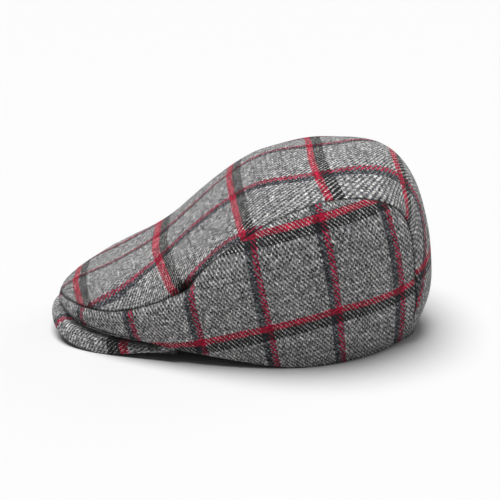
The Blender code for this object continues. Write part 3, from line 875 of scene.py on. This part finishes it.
from_hem = arc_from(side_base, -1)
from_seam = arc_from(side_base, 0)
from_back = LAST_RIB - ribs
sunk = rolled_into_seam(from_seam, along_seam[:, None], SEAM_DIP)
sunk *= smooth_step(from_back, 0, SEAM_FADE)[:, None]
sunk += tuck(from_seam, TUCK_WIDTH)
turned_under = BAND_TURN * smooth_step(from_hem, BAND_TURN_REACH, 0) ** 2
sunk += turned_under * smooth_step(ribs, BAND_TURN_END, BAND_TURN_FULL)[:, None]
side_face = side_base - side_normals * sunk[:, :, None]
side_face[:, 0] += half_gap
free = smooth_step(from_seam, 0, WAVE_FADE) * smooth_step(from_hem, 0, WAVE_FADE)
side_face += side_normals * (soft_waves(side_face, 5.0) * free)[:, :, None]
side_face[0] += (SEAM_GAP / 2, 0, 0)
side_inner = side_face - side_normals * wall_thickness(side_base, side_base[:, -1:], side_base[:, :1])
inside = hem - HEM_CLOTH * hem_outward(ribs)
over_peak = ribs < PEAK_END
inward = np.full((over_peak.sum(), 1), -HEM_CLOTH)
inside[over_peak] = peak_top(ribs[over_peak], inward)[:, 0] + (0, 0, SEAM_GAP)
side_inner[:, -1] = inside
lift = HEM_CLOTH / 2 * smooth_step(from_hem, LIFT_REACH, 0)
lift = lift * smooth_step(from_back, 0, LIFT_FADE)[:, None]
side_face[:, :, 2] += lift
side_inner[:, :, 2] += lift
side_face[-1] = side_face[-1, 0]
side_inner[-1] = side_inner[-1, 0]
side_inner[-1, :, 2] = side_face[-1, 0, 2] = 0
angles = np.linspace(0, np.pi, HEM_ARC_POINTS + 2)[None, 1:-1, None]
middle = (side_face[:, -1:] + side_inner[:, -1:]) / 2
across = (side_face[:, -1:] - side_inner[:, -1:]) / 2
hem_arc = middle + np.cos(angles) * across - np.sin(angles) * lift[:, -1:, None] * (0, 0, 1)
hem_arc[-1] = side_inner[-1, -1]

# The side panel's U runs to the back and its V up, in metres of cloth.
coarse_side = side_base[::FLAT_STEP, ::FLAT_STEP]
along_hem = arc_from(hem[None, ::FLAT_STEP], 0).T
start = np.stack([np.repeat(along_hem, coarse_side.shape[1], axis=1), arc_from(coarse_side, -1)], -1)
flat_side = finer(lay_flat(coarse_side, start), *side_base.shape[:2])
hem_column = side_base.shape[1] - 1
flat_side = turned(flat_side, (CROWN_ROW, hem_column), (BACK_ROW, hem_column), -SIDE_GRAIN)
u_shift, v_shift = lay_at_ribs(SIDE_LAY)
flat_side = np.stack([
    flat_side[:, :, 0] + u_shift - SIDE_THIN_AT + THIN_MIDDLE,
    (flat_side[:, :, 1] + v_shift - SIDE_WIDE_AT) * SIDE_STRETCH + WIDE_MIDDLE,
], -1)
from_band = flat_side[:, :, 1] - WIDE_MIDDLE - WIDE_REPEAT
flat_side[:, :, 1] += BAND_EASE * from_band * bell(from_band, 0, BAND_EASE_REACH)
# painted shade on the side panel's colour: the seam's shadow, and the groove's shadow along the band's lower
# edge
side_painted_groove = painted_groove_shade(from_hem, ribs[:, None], GROOVE_ON_BAND, GROOVE_END)
side_painted_shade = np.maximum(painted_seam_shade(from_seam), side_painted_groove)
shell("left_side_panel", side_face, side_inner, flat_side, side_painted_shade, plaid_tweed, hem_arc)

# The right side panel is its twin, cut from the same tweed with the same side out. It is
# sewn to the top panel and turned in at the hem in the same way.
mirror = np.array((-1, 1, 1))
flat_right = flat_side * (-1, 1)
shell("right_side_panel", side_face * mirror, side_inner * mirror, flat_right, side_painted_shade, plaid_tweed,
      hem_arc * mirror)

# The peak is a stiff board with the same tweed glued round it, bent down over its sides.
# It lies under the band. In its black bands the light warp sinks deeper than elsewhere.
PEAK_THIN_AT = 0.0325       # the x of the middle of one thin red line, on the cloth laid flat
PEAK_WIDE_AT = -0.0790      # the y of the middle of one wide red band under the hem
PEAK_STRETCH = 0.81
PEAK_RELIEF = 0.0003
PEAK_BLACK_SINK = 0.6
PEAK_ROWS = 129
PEAK_COLUMNS = 26
PEAK_ROUND = 9
BANDS_ACROSS = 2.0          # up to this rib the wide bands run straight across the peak
BANDS_OUT = 4.0             # and from this one square out from the hem
at = np.linspace(0, PEAK_END, PEAK_ROWS)
opening, under_hem, edge, thickness = peak_rails(at)
radius = (thickness / 2)[:, None]
inner_end = radius - np.linalg.norm(opening - under_hem, axis=1, keepdims=True)
outer_end = np.linalg.norm(edge - under_hem, axis=1, keepdims=True) - radius
upper = inner_end + (outer_end - inner_end) * np.linspace(0, 1, PEAK_COLUMNS)
turn = np.radians(np.linspace(90, -90, PEAK_ROUND + 2)[1:-1])
reach = np.hstack([
    upper,
    outer_end + radius * np.cos(turn),
    upper[:, ::-1],
    inner_end - radius * np.cos(turn),
])
drop = np.hstack([
    0 * upper,
    radius * (1 - np.sin(turn)),
    0 * upper + 2 * radius,
    radius * (1 + np.sin(turn)),
])
half_peak = peak_top(at, reach) - drop[:, :, None] * (0, 0, 1)
loops = np.concatenate([half_peak[:0:-1] * mirror, half_peak])
index = np.arange(loops.shape[0] * loops.shape[1]).reshape(loops.shape[:2])
closed = np.hstack([index, index[:, :1]])
faces = square_faces(closed).tolist() + [index[0].tolist(), index[-1].tolist()]
steps = np.linalg.norm(np.diff(half_peak, axis=1), axis=2)
past_hem = inner_end + np.hstack([np.zeros((len(at), 1)), np.cumsum(steps, axis=1)])
lip_end = past_hem[:, PEAK_COLUMNS + PEAK_ROUND, None]
on_cloth = np.minimum(past_hem, 2 * lip_end - past_hem)     # it comes back in under the lip
outward = hem_outward(at)[:, None, :]
x_flat = hem_line(at)[:, None, 0] + outward[:, :, 0] * on_cloth
across_share = smooth_step(at, BANDS_OUT, BANDS_ACROSS)[:, None]
y_flat = hem_line(at)[:, None, 1] + outward[:, :, 1] * on_cloth * across_share
x_flat = np.concatenate([-x_flat[:0:-1], x_flat])
y_flat = np.concatenate([y_flat[:0:-1], y_flat])
flat_peak = np.stack([
    x_flat - PEAK_THIN_AT + THIN_MIDDLE,
    (y_flat - PEAK_WIDE_AT) * PEAK_STRETCH + WIDE_MIDDLE,
], -1).reshape(-1, 2)
# painted shadow of the groove on the peak's upper face under the band's edge, widest near the peak's sides
gape = GROOVE_ON_PEAK + GROOVE_GAPE * bell(at, GROOVE_RIB, GROOVE_RIBS)[:, None]
half_painted_shade = painted_groove_shade(past_hem, at[:, None], gape, PEAK_END)
painted_shades = np.concatenate([half_painted_shade[:0:-1], half_painted_shade]).ravel()
peak_tweed = tweed("grey_tweed_drawn_over_the_peak", PEAK_RELIEF, PEAK_BLACK_SINK)
cloth_piece("peak", loops.reshape(-1, 3), faces, flat_peak, painted_shades, peak_tweed)

# The table is a sheet of matt white paper. A wide soft light hangs overhead, a little
# towards the cap's front, and the white room around fills in the shadows. The room looks
# brighter to the camera than it shines, as a background that is lit by itself does.
PAPER_SIZE = 30.0
PAPER_ROUGHNESS = 0.9
paper = bpy.data.materials.new("matt_white_paper")
paper.use_nodes = True
paper_shader = paper.node_tree.nodes["Principled BSDF"]
paper_shader.inputs["Base Color"].default_value = linear("#d0d0d0")
paper_shader.inputs["Roughness"].default_value = PAPER_ROUGHNESS
half = PAPER_SIZE / 2
paper_mesh = bpy.data.meshes.new("table")
paper_corners = [(-half, -half, 0), (half, -half, 0), (half, half, 0), (-half, half, 0)]
paper_mesh.from_pydata(paper_corners, [], [(0, 1, 2, 3)])
paper_mesh.materials.append(paper)
table = bpy.data.objects.new("table", paper_mesh)
bpy.context.scene.collection.objects.link(table)

BACKGROUND_BRIGHTNESS = 0.975
ROOM_STRENGTH = 0.15
SUN_STRENGTH = 4.3
SUN_FROM = Vector((-0.03, -0.14, 1.0))
SUN_ANGLE = math.radians(42)
room = bpy.data.worlds.new("white_room")
room.use_nodes = True
seen_by_camera = add(room.node_tree, "LightPath")
glow = add(room.node_tree, "MapRange", seen_by_camera, 0.0, 1.0, ROOM_STRENGTH, BACKGROUND_BRIGHTNESS)
room.node_tree.nodes["Background"].inputs["Color"].default_value = linear("#ffffff")
room.node_tree.links.new(glow, room.node_tree.nodes["Background"].inputs["Strength"])
bpy.context.scene.world = room
soft_box = bpy.data.lights.new("soft_box", "SUN")
soft_box.energy = SUN_STRENGTH
soft_box.angle = SUN_ANGLE
soft_light = bpy.data.objects.new("soft_box", soft_box)
soft_light.rotation_euler = SUN_FROM.to_track_quat("Z", "Y").to_euler()
bpy.context.scene.collection.objects.link(soft_light)

# a white wall past the cap's back, on the side away from the camera, lights it a little
WALL_STRENGTH = 0.6
WALL_FROM = Vector((-0.6, 1.0, 0.3))
WALL_ANGLE = math.radians(60)
white_wall = bpy.data.lights.new("white_wall", "SUN")
white_wall.energy = WALL_STRENGTH
white_wall.angle = WALL_ANGLE
wall_light = bpy.data.objects.new("white_wall", white_wall)
wall_light.rotation_euler = WALL_FROM.to_track_quat("Z", "Y").to_euler()
bpy.context.scene.collection.objects.link(wall_light)
bpy.context.scene.view_settings.view_transform = "Standard"
